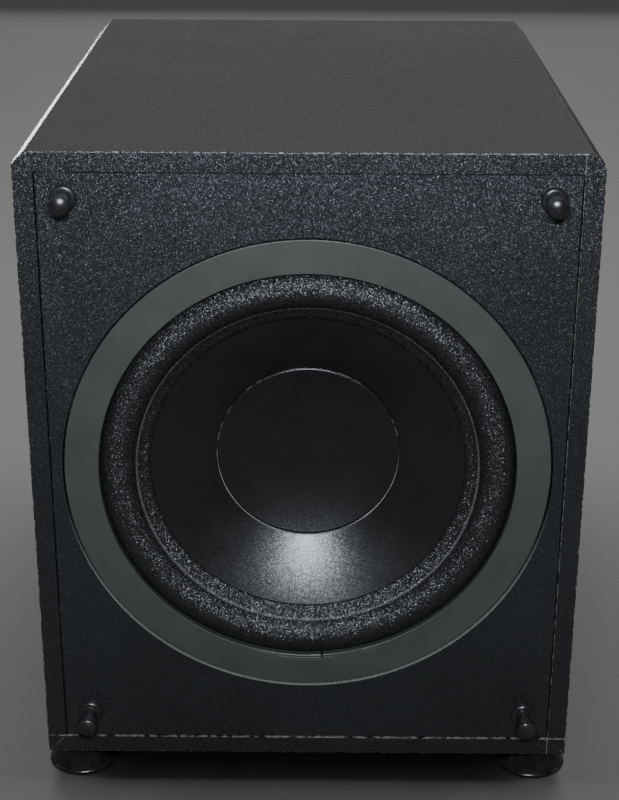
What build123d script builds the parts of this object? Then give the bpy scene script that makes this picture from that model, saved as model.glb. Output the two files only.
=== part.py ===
from build123d import *
import math
import os

# Powered bass loudspeaker in a wrapped, folded board cabinet. Millimetres, +Z up, the front faces -Y.
# Z = 0 is the floor under the feet, and the origin is under the middle of the whole object's box.
# "Depth" is the distance behind the cabinet's front plane. The rear frame has u to the right as seen
# from behind, v up from the floor and w outwards from the rear board's outer face.

# Cabinet
cabinet_width = 310.0
box_height = 368.0
box_depth = 398.0
wall = 11.0
chamfer_leg = 7.0
edge_round = 0.8
seam = 0.3
baffle_recess = 0.8
baffle_thickness = 18.0
baffle_ease = 0.6
rear_recess = 1.0
rear_thickness = 12.0
brace_depth = 150.0
brace_thickness = 12.0
brace_window = (204.0, 250.0)
brace_window_corner = 30.0
batten = 15.0

# Feet
foot_height = 20.0
foot_top_radius = 17.5
foot_radius = 21.0
foot_x = 137.5
foot_inset = 24.5
foot_bore_radius = 5.5
foot_bore_depth = 10.0
foot_hole_radius = 2.2
foot_screw_length = 19.0

# Grille studs
peg_x = 128.7
peg_heights = (27.5, 343.0)
peg_length = 19.5
peg_head_radius = 5.5
peg_head_start = 9.6
peg_corner_radius = 1.3
peg_nose_lean = math.radians(30)
peg_neck_radius = 3.5
peg_flange_radius = 7.25
peg_shank_radius = 4.0
peg_shank_length = 12.0

# Driver, as radii and depths
driver_height = 184.5
ring_radius = 136.15
ring_inner_radius = 117.0
rebate_radius = 137.15
rebate_depth = 8.7
baffle_hole_radius = 120.0
slit_x = 8.7
slit_width = 1.4
slit_height = 1.8
flange_radius = 131.0
flange_inner_radius = 116.8
flange_depth = 6.0
sheet = 1.2
basket_waist_radius = 77.5
basket_seat_radius = 65.0
basket_vent_radius = 30.0
basket_window = (84.0, 111.0)
basket_window_arc = 38.0
basket_window_count = 6
lip_radius = 121.8
lip_depth = 4.8
roll_crest_depth = -0.9
crease_radius = 96.6
crease_depth = 6.2
cone_edge_radius = 96.5
cone_edge_depth = 7.2
cone_visible_radius = 88.6
cap_radius = 52.0
cap_seat_depth = 29.9
cap_dish = 9.0
cap_thickness = 1.0
former_radius = 25.5
former_wall = 0.3
neck_depth = 48.3
cone_thickness = 1.6
driver_screw_circle = 127.0
driver_screw_count = 8
driver_screw_first = 22.5
driver_screw_hole = 2.4
surround_thickness = 1.3
spider_first_radius = 30.0
spider_pitch = 6.0
spider_waves = 6
spider_swell = 2.0
cloth = 0.6
ledge_depth = 58.0
motor_depth = 78.0
coil_radius = 26.6
coil_span = (72.0, 90.0)
former_end = 94.0
front_plate_radii = (27.2, 56.0)
front_plate_thickness = 6.0
magnet_radii = (32.0, 62.0)
magnet_thickness = 20.0
yoke_radius = 58.0
yoke_thickness = 6.0
pole_radius = 24.6
vent_radius = 6.0
bevel = 1.5
terminal_strip_thickness = 2.0
terminal_tabs_x = (-7.0, 7.0)
terminal_tab_length = 9.0
terminal_drop = 72.5
lead_radius = 1.2

# Screws and their pilot holes
shank_radius = 1.95
pilot_radius = 2.0

# Port
port_height = 326.0
port_radius = 30.0
port_tube_radius = 33.0
port_flange_radius = 47.0
port_length = 150.0
port_flare = 12.0
port_collar_radius = 37.5

# Amplifier plate and what it carries, in the rear frame
plate_width = 190.0
plate_height = 230.0
plate_centre = 160.0
plate_corner = 6.0
gasket_thickness = 1.5
plate_thickness = 3.0
opening_width = 166.0
opening_height = 206.0
sink_base = 3.0
fin_height = 16.0
fin_count = 17
fin_pitch = 9.0
board_face = -8.5
circuit_board_thickness = 1.6
level_place = (-55.0, 165.0)
lowpass_place = (-10.0, 165.0)
phase_place = (35.0, 165.0)
lamp_place = (70.0, 165.0)
jack_places = ((-62.0, 122.0), (-40.0, 122.0))
terminal_place = (30.0, 122.0)
rocker_place = (-58.0, 78.0)
inlet_place = (55.0, 78.0)
transformer_place = (-3.0, 80.0)
running_fit = 0.05
plate_hole_radius = 2.3

# Controls on the plate, with w measured from the rear board's face
pot_radius = 8.5
bushing_radius = 3.6
bushing_reach = 4.2
nut_radius = 5.4
nut_height = 2.0
shaft_radius = 3.0
knob_skirt_radius = 9.5
knob_radius = 7.6
knob_top = 19.0
knob_flutes = 20
phase_travel = 4.0
rocker_width = 13.8
rocker_length = 20.4
rocker_tilt = 8.0
rocker_pivot = 3.0
trunnion_radius = 1.2
lamp_radius = 2.5
inlet_width = 27.4
inlet_height = 19.8
inlet_floor = -10.5
inlet_pin_places = ((-7.0, -1.5), (0.0, 2.5), (7.0, -1.5))
jack_bore = 1.6
jack_core_radius = 3.4
jack_radius = 4.15
jack_step = 0.3
jack_collar_radius = 5.7
jack_reach = 13.5
lever_count = 4
lever_pitch = 11.2
lever_width = 8.4
lever_pivot = (8.5, 6.5)
lever_pin_radius = 1.0
block_width = 48.0
block_height = 28.0
block_face = 8.5

plate_inner = gasket_thickness
plate_outer = gasket_thickness + plate_thickness
front_reach = peg_length - baffle_recess
rear_reach = plate_outer + sink_base + fin_height - rear_recess
front_y = (front_reach - box_depth - rear_reach) / 2
rear_y = front_y + box_depth - rear_recess
driver_z = foot_height + driver_height
terminal_strip_depth = ledge_depth + sheet
terminal_height = driver_z - terminal_drop
cone_arc_points = (
    (cone_edge_radius, cone_edge_depth),
    (cap_radius, cap_seat_depth),
    (former_radius, neck_depth),
)
inner_leg = chamfer_leg - wall * (2 - math.sqrt(2))

front = Plane(origin=(0, front_y, 0), x_dir=(1, 0, 0), z_dir=(0, -1, 0))
rear = Plane(origin=(0, rear_y, 0), x_dir=(-1, 0, 0), z_dir=(0, 1, 0))
driver = Pos(0, front_y, driver_z)


# ---------- shared shapes ----------

def outline(inset, leg):
    """Corner points (x, z) of the cabinet's section, set in from the outside."""
    x = cabinet_width / 2 - inset
    low = foot_height + inset
    high = foot_height + box_height - inset
    return [(-x, low), (x, low), (x, high - leg), (x - leg, high), (leg - x, high), (-x, high - leg)]


def prism(points, near, far):
    """Prism along Y between two depths, from an outline of (x, z) points."""
    face = front * Pos(0, 0, -near) * make_face(Polyline(*points, close=True))
    return extrude(face, amount=far - near, dir=(0, 1, 0))


def slab(x_low, x_high, near, far, z_low, z_high):
    """Box between two X, two depths and two Z."""
    size = (x_high - x_low, far - near, z_high - z_low)
    middle = ((x_low + x_high) / 2, front_y + (near + far) / 2, (z_low + z_high) / 2)
    return Pos(*middle) * Box(*size)


def rod(x, z, radius, near, far):
    """Cylinder along Y between two depths."""
    return Pos(x, front_y + (near + far) / 2, z) * Rot(90, 0, 0) * Cylinder(radius, far - near)


def ring(inner, outer, near, far, arc=360):
    """Ring, or part of one, about the driver's axis between two radii and two depths."""
    corners = Polyline((inner, near), (outer, near), (outer, far), (inner, far), close=True)
    return driver * revolve(make_face(corners), Axis.Y, revolution_arc=arc)


def turned(*edges):
    """Solid of revolution about the driver's axis from edges in (radius, depth)."""
    return driver * revolve(make_face(list(edges)), Axis.Y)


def lines(*points):
    """Straight edges through the points."""
    return list(Polyline(*points).edges())


def dome(radius, rim, top):
    """Arc in (radius, height) from a rim to the axis, where it is level."""
    rise = top - rim
    reach = (radius ** 2 + rise ** 2) / (2 * rise)
    side = math.copysign(1, rise)
    middle = top - reach + side * math.sqrt(reach ** 2 - radius ** 2 / 4)
    return ThreePointArc((radius, rim), (radius / 2, middle), (0, top))


def spread(count, radius, first):
    """Places (x, z) evenly spaced on a circle about the driver's axis."""
    turns = [math.radians(first + 360 * i / count) for i in range(count)]
    return [(radius * math.cos(t), driver_z + radius * math.sin(t)) for t in turns]


def rear_block(place, width, height, low, high):
    """Box centred on (u, v) in the rear frame, from one w to another."""
    return rear * Pos(place[0], place[1], (low + high) / 2) * Box(width, height, high - low)


def rear_rod(place, radius, low, high):
    """Cylinder along w in the rear frame."""
    return rear * Pos(place[0], place[1], (low + high) / 2) * Cylinder(radius, high - low)


def rear_panel(place, width, height, corner, low, high):
    """Panel with round corners in the rear frame."""
    sketch = rear * Pos(place[0], place[1], low) * RectangleRounded(width, height, corner)
    return extrude(sketch, amount=high - low, dir=(0, 1, 0))


def across(place, w, radius, length):
    """Cylinder along u at a height w in the rear frame."""
    return rear * Pos(place[0], place[1], w) * Rot(0, 90, 0) * Cylinder(radius, length)


def side_profile(place, w, points, width):
    """Prism across u from (v, w) points about an axis at (place, w)."""
    plane = rear * Pos(place[0] - width / 2, place[1], w) * Plane.YZ.location
    return extrude(plane * make_face(Polyline(*points, close=True)), amount=width, dir=(-1, 0, 0))


def screw(head_radius, head_height, length):
    """Pan-head screw with a cross recess. Its head stands on Z = 0 and its shank points down."""
    tip = 3.0
    head = Pos(0, 0, head_height / 2) * Cylinder(head_radius, head_height)
    head = fillet(head.edges().sort_by(Axis.Z)[-1], head_height * 0.45)
    for angle in (0, 90):
        bar = Box(head_radius * 1.1, head_radius * 0.26, head_height)
        head -= Pos(0, 0, head_height) * Rot(0, 0, angle) * bar
    shank = Pos(0, 0, (tip - length) / 2) * Cylinder(shank_radius, length - tip)
    point = Pos(0, 0, tip / 2 - length) * Cone(0.3, shank_radius, tip)
    return head + shank + point


def circle_through(a, b, c):
    """Centre of the circle through three points."""
    d = 2 * (a[0] * (b[1] - c[1]) + b[0] * (c[1] - a[1]) + c[0] * (a[1] - b[1]))
    sa, sb, sc = (p[0] ** 2 + p[1] ** 2 for p in (a, b, c))
    x = (sa * (b[1] - c[1]) + sb * (c[1] - a[1]) + sc * (a[1] - b[1])) / d
    y = (sa * (c[0] - b[0]) + sb * (a[0] - c[0]) + sc * (b[0] - a[0])) / d
    return x, y


# ---------- cabinet ----------

def foot_places():
    """Centres (x, y) of the feet, front left first."""
    back = front_y + box_depth - foot_inset
    return {
        "foot_front_left": (-foot_x, front_y + foot_inset),
        "foot_front_right": (foot_x, front_y + foot_inset),
        "foot_rear_left": (-foot_x, back),
        "foot_rear_right": (foot_x, back),
    }


def wall_boards():
    """The wrapped boards, folded at mitres. Two narrow strips make the chamfered top edges."""
    outside = outline(0, chamfer_leg)
    inside = outline(wall, inner_leg)
    tube = prism(outside, 0, box_depth)
    tube = fillet(tube.edges(), edge_round)
    tube -= prism(inside, -1, box_depth + 1)
    names = ["bottom_board", "right_board", "corner_strip_right"]
    names += ["top_board", "corner_strip_left", "left_board"]
    corners = list(zip(inside, outside))
    boards = {}
    for i, name in enumerate(names):
        (a, outer_a), (b, outer_b) = corners[i], corners[(i + 1) % len(corners)]
        far_a = (2 * outer_a[0] - a[0], 2 * outer_a[1] - a[1])
        far_b = (2 * outer_b[0] - b[0], 2 * outer_b[1] - b[1])
        boards[name] = tube & prism([a, b, far_b, far_a], -1, box_depth + 1)
    for x, y in foot_places().values():
        boards["bottom_board"] -= Pos(x, y, foot_height) * Cylinder(pilot_radius, 3 * wall)
    return boards


def front_baffle():
    """Inset front board with the driver's rebate and hole, and the holes for pegs and screws."""
    back = baffle_recess + baffle_thickness
    board = prism(outline(wall + seam, inner_leg + seam), baffle_recess, back)
    board = chamfer(board.faces().sort_by(Axis.Y)[0].edges(), baffle_ease)
    board -= ring(0, rebate_radius, 0, rebate_depth)
    board -= ring(0, baffle_hole_radius, 0, back + 1)
    for x, z in peg_places().values():
        board -= rod(x, z, peg_shank_radius + running_fit, 0, baffle_recess + peg_shank_length + 1)
    for x, z in spread(driver_screw_count, driver_screw_circle, driver_screw_first):
        board -= rod(x, z, pilot_radius, 0, back + 1)
    return board


def baffle_battens():
    """Four strips glued inside the walls, behind the baffle."""
    near = baffle_recess + baffle_thickness
    far = near + batten
    x = cabinet_width / 2 - wall
    low = foot_height + wall
    high = foot_height + box_height - wall
    end = x - 1.0
    return Compound(children=[
        slab(-x, batten - x, near, far, low + batten, high - batten),
        slab(x - batten, x, near, far, low + batten, high - batten),
        slab(-end, end, near, far, low, low + batten),
        slab(-end, end, near, far, high - batten, high),
    ])


def window_brace():
    """Board across the middle of the box with one large window."""
    board = prism(outline(wall, inner_leg), brace_depth, brace_depth + brace_thickness)
    window = RectangleRounded(*brace_window, brace_window_corner)
    sketch = front * Pos(0, driver_z, 1 - brace_depth) * window
    return board - extrude(sketch, amount=brace_thickness + 2, dir=(0, 1, 0))


def rear_board():
    """Inset rear board with openings for the port and the amplifier."""
    far = box_depth - rear_recess
    board = prism(outline(wall, inner_leg), far - rear_thickness, far)
    board -= rear_rod((0, port_height), port_collar_radius + 0.2, -rear_thickness - 1, 1)
    board -= rear_panel((0, plate_centre), opening_width, opening_height, 4, -rear_thickness - 1, 1)
    for place in amp_screw_places():
        board -= rear_rod(place, pilot_radius, -rear_thickness - 1, 1)
    return board


def foot():
    """Flared round foot with a counterbored screw hole from below."""
    toe_top = (foot_radius - 0.6, 2.6)
    sole = (foot_radius - 0.8, 0)
    side = ThreePointArc((foot_top_radius, foot_height), (foot_top_radius + 0.7, 9.0), toe_top)
    toe = ThreePointArc(toe_top, (foot_radius, 1.2), sole)
    rest = Polyline(sole, (foot_bore_radius, 0), (foot_bore_radius, foot_bore_depth),
                    (foot_hole_radius, foot_bore_depth), (foot_hole_radius, foot_height),
                    (foot_top_radius, foot_height))
    profile = Plane.XZ * make_face([side.edge(), toe.edge(), *rest.edges()])
    return revolve(profile, Axis.Z)


def foot_screws():
    """One screw up through each foot."""
    one = Rot(180, 0, 0) * screw(4.2, 2.4, foot_screw_length)
    return Compound(children=[Pos(x, y, foot_bore_depth) * one for x, y in foot_places().values()])


def peg_places():
    """Centres (x, z) of the four grille studs."""
    low, high = (foot_height + h for h in peg_heights)
    return {
        "grille_peg_top_left": (-peg_x, high),
        "grille_peg_top_right": (peg_x, high),
        "grille_peg_bottom_left": (-peg_x, low),
        "grille_peg_bottom_right": (peg_x, low),
    }


def grille_peg():
    """Round-nosed stud along +Z from the baffle's face, with a neck, a flange and a shank behind it."""
    swell = peg_head_radius - peg_neck_radius
    shoulder_end = peg_head_start + swell
    rim = peg_head_radius - peg_corner_radius * (1 - math.sin(peg_nose_lean))
    nose = peg_length - rim * math.tan(peg_nose_lean / 2)
    edge = nose - peg_corner_radius * math.cos(peg_nose_lean)
    corner_x = peg_head_radius - peg_corner_radius
    half_turn = (math.pi / 2 - peg_nose_lean) / 2
    base = Polyline((0, -peg_shank_length), (peg_shank_radius, -peg_shank_length), (peg_shank_radius, 0),
                    (peg_flange_radius, 0), (peg_flange_radius, 1.2))
    brim = ThreePointArc((peg_flange_radius, 1.2), (6.4, 2.2), (4.6, 2.6))
    neck = ThreePointArc((4.6, 2.6), (3.8, 3.6), (peg_neck_radius, 5.0))
    stem = Line((peg_neck_radius, 5.0), (peg_neck_radius, peg_head_start))
    shoulder = ThreePointArc((peg_neck_radius, peg_head_start), (peg_head_radius - 0.6, peg_head_start + 0.6),
                             (peg_head_radius, shoulder_end))
    head = Line((peg_head_radius, shoulder_end), (peg_head_radius, edge))
    corner = ThreePointArc((peg_head_radius, edge),
                           (corner_x + peg_corner_radius * math.cos(half_turn),
                            edge + peg_corner_radius * math.sin(half_turn)), (rim, nose))
    tip = dome(rim, nose, peg_length)
    axis = Line((0, peg_length), (0, -peg_shank_length))
    arcs = [brim, neck, stem, shoulder, head, corner, tip, axis]
    return revolve(Plane.XZ * make_face([*base.edges(), *(arc.edge() for arc in arcs)]), Axis.Z)


# ---------- driver ----------

def cone_depth(radius):
    """Depth of the cone's front face at a radius."""
    x, y = circle_through(*cone_arc_points)
    reach = math.dist((x, y), cone_arc_points[0])
    side = math.copysign(1, cone_edge_depth - y)
    return y + side * math.sqrt(reach ** 2 - (radius - x) ** 2)


def trim_ring():
    """Flat ring that covers the driver's flange. It has a small slit in its inner edge at the bottom."""
    outer_leg = 132.0
    groove_depth = 3.0
    body = turned(*lines(
        (ring_inner_radius, baffle_recess), (ring_radius, baffle_recess), (ring_radius, rebate_depth),
        (outer_leg, rebate_depth), (outer_leg, groove_depth), (lip_radius, groove_depth),
        (lip_radius, lip_depth), (ring_inner_radius, lip_depth), (ring_inner_radius, baffle_recess)))
    eased = [e for e in body.edges() if abs(e.center().Y - front_y - baffle_recess) < 0.01]
    body = fillet(eased, 0.5)
    slit_top = driver_z - ring_inner_radius + 1.0
    return body - slab(slit_x - slit_width / 2, slit_x + slit_width / 2, 0, lip_depth + 0.5,
                       slit_top - 1.0 - slit_height, slit_top)


def basket():
    """Pressed steel chassis: flange, sloped wall with six windows, spider ledge and motor seat."""
    back = flange_depth + sheet
    waist, seat, vent = basket_waist_radius, basket_seat_radius, basket_vent_radius
    body = turned(*lines(
        (flange_radius, flange_depth), (flange_inner_radius, flange_depth), (flange_inner_radius, 22.0),
        (waist, ledge_depth - bevel), (waist, ledge_depth), (seat, ledge_depth), (seat, motor_depth - sheet),
        (vent, motor_depth - sheet), (vent, motor_depth), (seat + sheet, motor_depth),
        (seat + sheet, ledge_depth + sheet), (waist + sheet, ledge_depth + sheet),
        (waist + sheet, ledge_depth - 1.0), (flange_inner_radius + sheet, 22.5),
        (flange_inner_radius + sheet, back), (flange_radius, back), (flange_radius, flange_depth)))
    window = ring(*basket_window, 20, ledge_depth + 2, arc=basket_window_arc)
    for i in range(basket_window_count):
        turn = 360 / basket_window_count * i - basket_window_arc / 2
        body -= driver * Rot(0, turn, 0) * driver.inverse() * window
    for x, z in spread(driver_screw_count, driver_screw_circle, driver_screw_first):
        body -= rod(x, z, driver_screw_hole, 0, 10)
    return body


def flange_gasket():
    """Foam ring between the flange and the rebate."""
    body = ring(baffle_hole_radius + 1, flange_radius, flange_depth + sheet, rebate_depth)
    for x, z in spread(driver_screw_count, driver_screw_circle, driver_screw_first):
        body -= rod(x, z, driver_screw_hole, 0, 10)
    return body


def driver_screws():
    """Screws through the flange, under the trim ring."""
    one = screw(4.0, 2.4, 15)
    places = spread(driver_screw_count, driver_screw_circle, driver_screw_first)
    return Compound(children=[front * Pos(x, z, -flange_depth) * one for x, z in places])


def surround():
    """Foam half roll with an outer lip on the flange and an inner lip on the cone."""
    roll_middle = (ring_inner_radius + crease_radius) / 2
    seat = flange_depth
    outer_seat = (ring_inner_radius - 1.4, seat)
    lip_end = cone_depth(cone_visible_radius)
    between = (cone_edge_radius + cone_visible_radius) / 2
    inner_seat = (cone_edge_radius + 1.5, crease_depth + 0.7)
    under = ThreePointArc(outer_seat, (roll_middle, roll_crest_depth + surround_thickness), inner_seat)
    glued = ThreePointArc((cone_edge_radius, cone_edge_depth), (between, cone_depth(between)),
                          (cone_visible_radius, lip_end))
    roll = ThreePointArc((crease_radius, crease_depth), (roll_middle, roll_crest_depth),
                         (ring_inner_radius, lip_depth))
    return turned(
        *lines((ring_inner_radius, lip_depth), (lip_radius, lip_depth), (lip_radius, seat), outer_seat),
        under.edge(),
        *lines(inner_seat, (cone_edge_radius, cone_edge_depth)),
        glued.edge(),
        *lines((cone_visible_radius, lip_end), (cone_visible_radius, lip_end - sheet),
               (crease_radius, crease_depth)),
        roll.edge())


def cone():
    """Gently curved cone from the surround to the coil former."""
    edge, seat, neck = cone_arc_points
    face = ThreePointArc(edge, seat, neck)
    back = ThreePointArc(*[(r, d + cone_thickness) for r, d in (neck, seat, edge)])
    return turned(face.edge(), *lines(neck, (neck[0], neck[1] + cone_thickness)), back.edge(),
                  *lines((edge[0], edge[1] + cone_thickness), edge))


def dust_cap():
    """Large dished cap, its rim on the cone."""
    rim = cap_seat_depth - cap_thickness
    bottom = rim + cap_dish
    face = dome(cap_radius, rim, bottom)
    back = dome(cap_radius, cap_seat_depth, bottom + cap_thickness)
    return turned(face.edge(), *lines((0, bottom), (0, bottom + cap_thickness)), back.edge(),
                  *lines((cap_radius, cap_seat_depth), (cap_radius, rim)))


def spider():
    """Corrugated cloth disc from the former to the basket's ledge."""
    depth = ledge_depth - cloth
    edges = []
    for offset in (0, cloth):
        for i in range(spider_waves):
            r = spider_first_radius + i * spider_pitch
            crest = depth + offset + (spider_swell if i % 2 == 0 else -spider_swell)
            middle = (r + spider_pitch / 2, crest)
            arc = ThreePointArc((r, depth + offset), middle, (r + spider_pitch, depth + offset))
            edges.append(arc.edge())
    first = spider_first_radius
    last = first + spider_waves * spider_pitch
    rim = basket_waist_radius - 0.5
    inner = lines((first, depth), (former_radius, depth), (former_radius, depth + cloth),
                  (first, depth + cloth))
    outer = lines((last, depth), (rim, depth), (rim, depth + cloth), (last, depth + cloth))
    return turned(*edges, *inner, *outer)


def coil_former():
    """Thin tube that carries the voice coil."""
    return ring(former_radius - former_wall, former_radius, neck_depth - 2, former_end)


def voice_coil():
    """Winding on the former, in the magnet's gap."""
    return ring(former_radius, coil_radius, *coil_span)


def front_plate():
    """Steel ring around the gap."""
    return ring(*front_plate_radii, motor_depth, motor_depth + front_plate_thickness)


def magnet():
    """Ferrite ring with bevelled outer edges."""
    near = motor_depth + front_plate_thickness
    far = near + magnet_thickness
    bore, rim = magnet_radii
    return turned(*lines((bore, near), (rim - bevel, near), (rim, near + bevel), (rim, far - bevel),
                         (rim - bevel, far), (bore, far), (bore, near)))


def yoke():
    """Back plate with the vented pole."""
    near = motor_depth + front_plate_thickness + magnet_thickness
    far = near + yoke_thickness
    top = motor_depth - 2
    return turned(*lines(
        (vent_radius, top), (pole_radius - 1, top), (pole_radius, top + 1), (pole_radius, near),
        (yoke_radius, near), (yoke_radius, far - bevel), (yoke_radius - bevel, far), (vent_radius, far),
        (vent_radius, top)))


def driver_terminals():
    """Fibre strip on the back of the spider ledge, with two solder tabs."""
    near = terminal_strip_depth
    far = near + terminal_strip_thickness
    strip = slab(-13, 13, near, far, terminal_height - 4, terminal_height + 4)
    tabs = [slab(x - 2.5, x + 2.5, far, far + terminal_tab_length, terminal_height - 0.4,
                 terminal_height + 0.4) for x in terminal_tabs_x]
    return Compound(children=[strip, *tabs])


# ---------- port ----------

def port_tube():
    """Moulded tube with a flared mouth and a flange on the rear board."""
    mouth = 2.0
    start = mouth - port_flare
    sweep = port_flare * math.sqrt(0.5)
    flare_middle = (port_radius + port_flare - sweep, start + sweep)
    flare = ThreePointArc((port_radius, start), flare_middle, (port_radius + port_flare, mouth))
    rim = ThreePointArc((port_flange_radius - 1.5, mouth), (port_flange_radius - 0.4, 1.5),
                        (port_flange_radius, 0.4))
    body = [flare.edge(), rim.edge()]
    body += lines((port_radius + port_flare, mouth), (port_flange_radius - 1.5, mouth))
    body += lines((port_flange_radius, 0.4), (port_flange_radius, 0), (port_collar_radius, 0),
                  (port_collar_radius, -8), (port_tube_radius, -12), (port_tube_radius, -port_length),
                  (port_radius, -port_length), (port_radius, start))
    return Pos(0, rear_y, port_height) * revolve(make_face(body), Axis.Y)


# ---------- amplifier ----------

def amp_screw_places():
    """Screws round the plate's edge, in the rear frame."""
    places = [(u, v) for u in (-88, 88) for v in (-108, -36, 36, 108)]
    places += [(u, v) for u in (-30, 30) for v in (-108, 108)]
    return [(u, plate_centre + v) for u, v in places]


def amp_gasket():
    """Foam frame between the plate and the rear board."""
    body = rear_panel((0, plate_centre), plate_width - 3, plate_height - 3, 5, 0, gasket_thickness)
    body -= rear_panel((0, plate_centre), opening_width, opening_height, 4, -1, gasket_thickness + 1)
    for place in amp_screw_places():
        body -= rear_rod(place, plate_hole_radius, -1, gasket_thickness + 1)
    return body


def amp_plate():
    """Folded-edge metal plate with its holes for the controls and sockets."""
    body = rear_panel((0, plate_centre), plate_width, plate_height, plate_corner, plate_inner, plate_outer)
    body = fillet(body.faces().sort_by(Axis.Y)[-1].edges(), 0.8)
    low, high = plate_inner - 1, plate_outer + 1
    for place in amp_screw_places():
        body -= rear_rod(place, plate_hole_radius, low, high)
    for place in (level_place, lowpass_place):
        body -= rear_rod(place, bushing_radius + 0.1, low, high)
    for place in jack_places:
        body -= rear_rod(place, jack_collar_radius + 0.1, low, high)
    body -= rear_rod(lamp_place, lamp_radius + 0.1, low, high)
    body -= rear_block(phase_place, 9.4, 4.2, low, high)
    body -= rear_block(rocker_place, rocker_width + 0.4, rocker_length + 0.4, low, high)
    body -= rear_block(inlet_place, inlet_width + 0.4, inlet_height + 0.4, low, high)
    body -= rear_block(terminal_place, block_width - 3.6, block_height - 3.6, low, high)
    return body


def amp_screws():
    """Screws that hold the plate."""
    one = screw(3.9, 2.4, 14)
    places = amp_screw_places()
    return Compound(children=[rear * Pos(u, v, plate_outer) * one for u, v in places])


def heat_sink():
    """Extruded heat sink with upright fins."""
    width = (fin_count - 1) * fin_pitch + 6
    height = 68.0
    place = (0, plate_centre + 68)
    low = plate_outer
    body = rear_block(place, width, height, low, low + sink_base)
    for i in range(fin_count):
        u = (i - (fin_count - 1) / 2) * fin_pitch
        body += rear_block((u, place[1]), 2.0, height, low + 1, low + sink_base + fin_height)
    return body


def circuit_board():
    """Board carried by the controls and jacks soldered to it."""
    return rear_block((0, 143), 150, 72, board_face - circuit_board_thickness, board_face)


def capacitors():
    """Two reservoir cans and four small ones on the inner side of the board."""
    base = board_face - circuit_board_thickness
    cans = [(-58, 160, 11, 34), (-32, 160, 11, 34), (20, 165, 5, 14), (34, 165, 5, 14),
            (20, 150, 5, 14), (34, 150, 5, 14)]
    made = []
    for u, v, radius, length in cans:
        can = rear_rod((u, v), radius, base - length, base)
        made.append(fillet(can.faces().sort_by(Axis.Y)[0].edges(), 1.2))
    return Compound(children=made)


def transformer_core():
    """Laminated core with two windows, standing on the plate."""
    body = rear_block(transformer_place, 58, 30, plate_inner - 48, plate_inner)
    for side in (-1, 1):
        place = (transformer_place[0] + side * 14.5, transformer_place[1])
        body -= rear_block(place, 9, 40, plate_inner - 39, plate_inner - 9)
    return body


def transformer_coil():
    """Winding round the core's middle leg."""
    low, high = plate_inner - 38.7, plate_inner - 9.3
    body = rear_block(transformer_place, 37.4, 44, low, high)
    return body - rear_block(transformer_place, 20.4, 30.4, low - 1, high + 1)


def control_pots():
    """Two potentiometers with threaded bushings and nuts."""
    made = []
    for place in (level_place, lowpass_place):
        body = rear_rod(place, pot_radius, board_face, plate_inner)
        body += rear_rod(place, bushing_radius, plate_inner - 1, plate_outer + bushing_reach)
        nut = rear * Pos(place[0], place[1], plate_outer) * RegularPolygon(nut_radius, 6)
        body += extrude(nut, amount=nut_height, dir=(0, 1, 0))
        made.append(body - rear_rod(place, shaft_radius + running_fit, board_face + 3, plate_outer + 5))
    return Compound(children=made)


def control_knob(place):
    """Fluted knob with a pointer groove and its shaft."""
    low = plate_outer + 0.6
    skirt_top = low + 2.4
    knob = rear_rod(place, knob_skirt_radius, low, skirt_top)
    grip = rear_rod(place, knob_radius, low + 1, knob_top)
    grip = fillet(grip.faces().sort_by(Axis.Y)[-1].edges(), 0.9)
    for i in range(knob_flutes):
        turn = 2 * math.pi * (i + 0.5) / knob_flutes
        reach = knob_radius + 0.3
        flute = (place[0] + reach * math.cos(turn), place[1] + reach * math.sin(turn))
        grip -= rear_rod(flute, 0.75, skirt_top, knob_top + 1)
    knob += grip
    knob -= rear_rod(place, knob_radius - 1, low - 1, plate_outer + 5)
    knob -= rear_block((place[0], place[1] + 5), 1.1, 6.5, knob_top - 0.7, knob_top + 1)
    return knob + rear_rod(place, shaft_radius, board_face + 4, plate_outer + 6)


def phase_switch():
    """Slide switch housing behind the plate."""
    body = rear_block(phase_place, 24, 9, board_face, plate_inner)
    body -= rear_block(phase_place, 16, 6, board_face + 1.5, plate_inner - 2)
    return body - rear_block(phase_place, 8.4, 3.8, plate_inner - 3, plate_inner + 1)


def phase_slider():
    """Captive slider with a ribbed nub, at the left end of its travel."""
    place = (phase_place[0] - phase_travel / 2, phase_place[1])
    body = rear_block(place, 9, 5.4, board_face + 1.8, plate_inner - 2.3)
    body += rear_block(place, 3.6, 3.0, plate_inner - 3, plate_outer + 2.6)
    for i in (-1, 0, 1):
        body -= rear_block((place[0] + i * 1.1, place[1]), 0.4, 4, plate_outer + 2.2, plate_outer + 3)
    return body


def rocker_frame():
    """Bezel and body of the power switch."""
    body = rear_panel(rocker_place, 17, 24, 1.5, plate_outer, plate_outer + 1.8)
    body += rear_block(rocker_place, rocker_width, rocker_length, -14, plate_outer + 0.5)
    body -= rear_block(rocker_place, 11.4, 17.6, -12.5, plate_outer + 3)
    return body - across(rocker_place, rocker_pivot, trunnion_radius + running_fit, 13.4)


def power_rocker():
    """Dished rocker on two trunnions, tilted to its off position."""
    tilt = math.radians(rocker_tilt)
    level = [(-7.6, -3), (7.6, -3), (8.2, 5.0), (0, 3.6), (-8.2, 5.0)]
    cos, sin = math.cos(tilt), math.sin(tilt)
    points = [(v * cos - w * sin, v * sin + w * cos) for v, w in level]
    body = side_profile(rocker_place, rocker_pivot, points, 10.8)
    return body + across(rocker_place, rocker_pivot, trunnion_radius, 13.0)


def inlet_socket(width, height, low, high):
    """Socket outline with its two lower corners cut off."""
    cut = 4.0
    x, y = width / 2, height / 2
    points = [(-x, y), (x, y), (x, cut - y), (x - cut, -y), (cut - x, -y), (-x, cut - y)]
    sketch = rear * Pos(inlet_place[0], inlet_place[1], low) * make_face(Polyline(*points, close=True))
    return extrude(sketch, amount=high - low, dir=(0, 1, 0))


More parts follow.
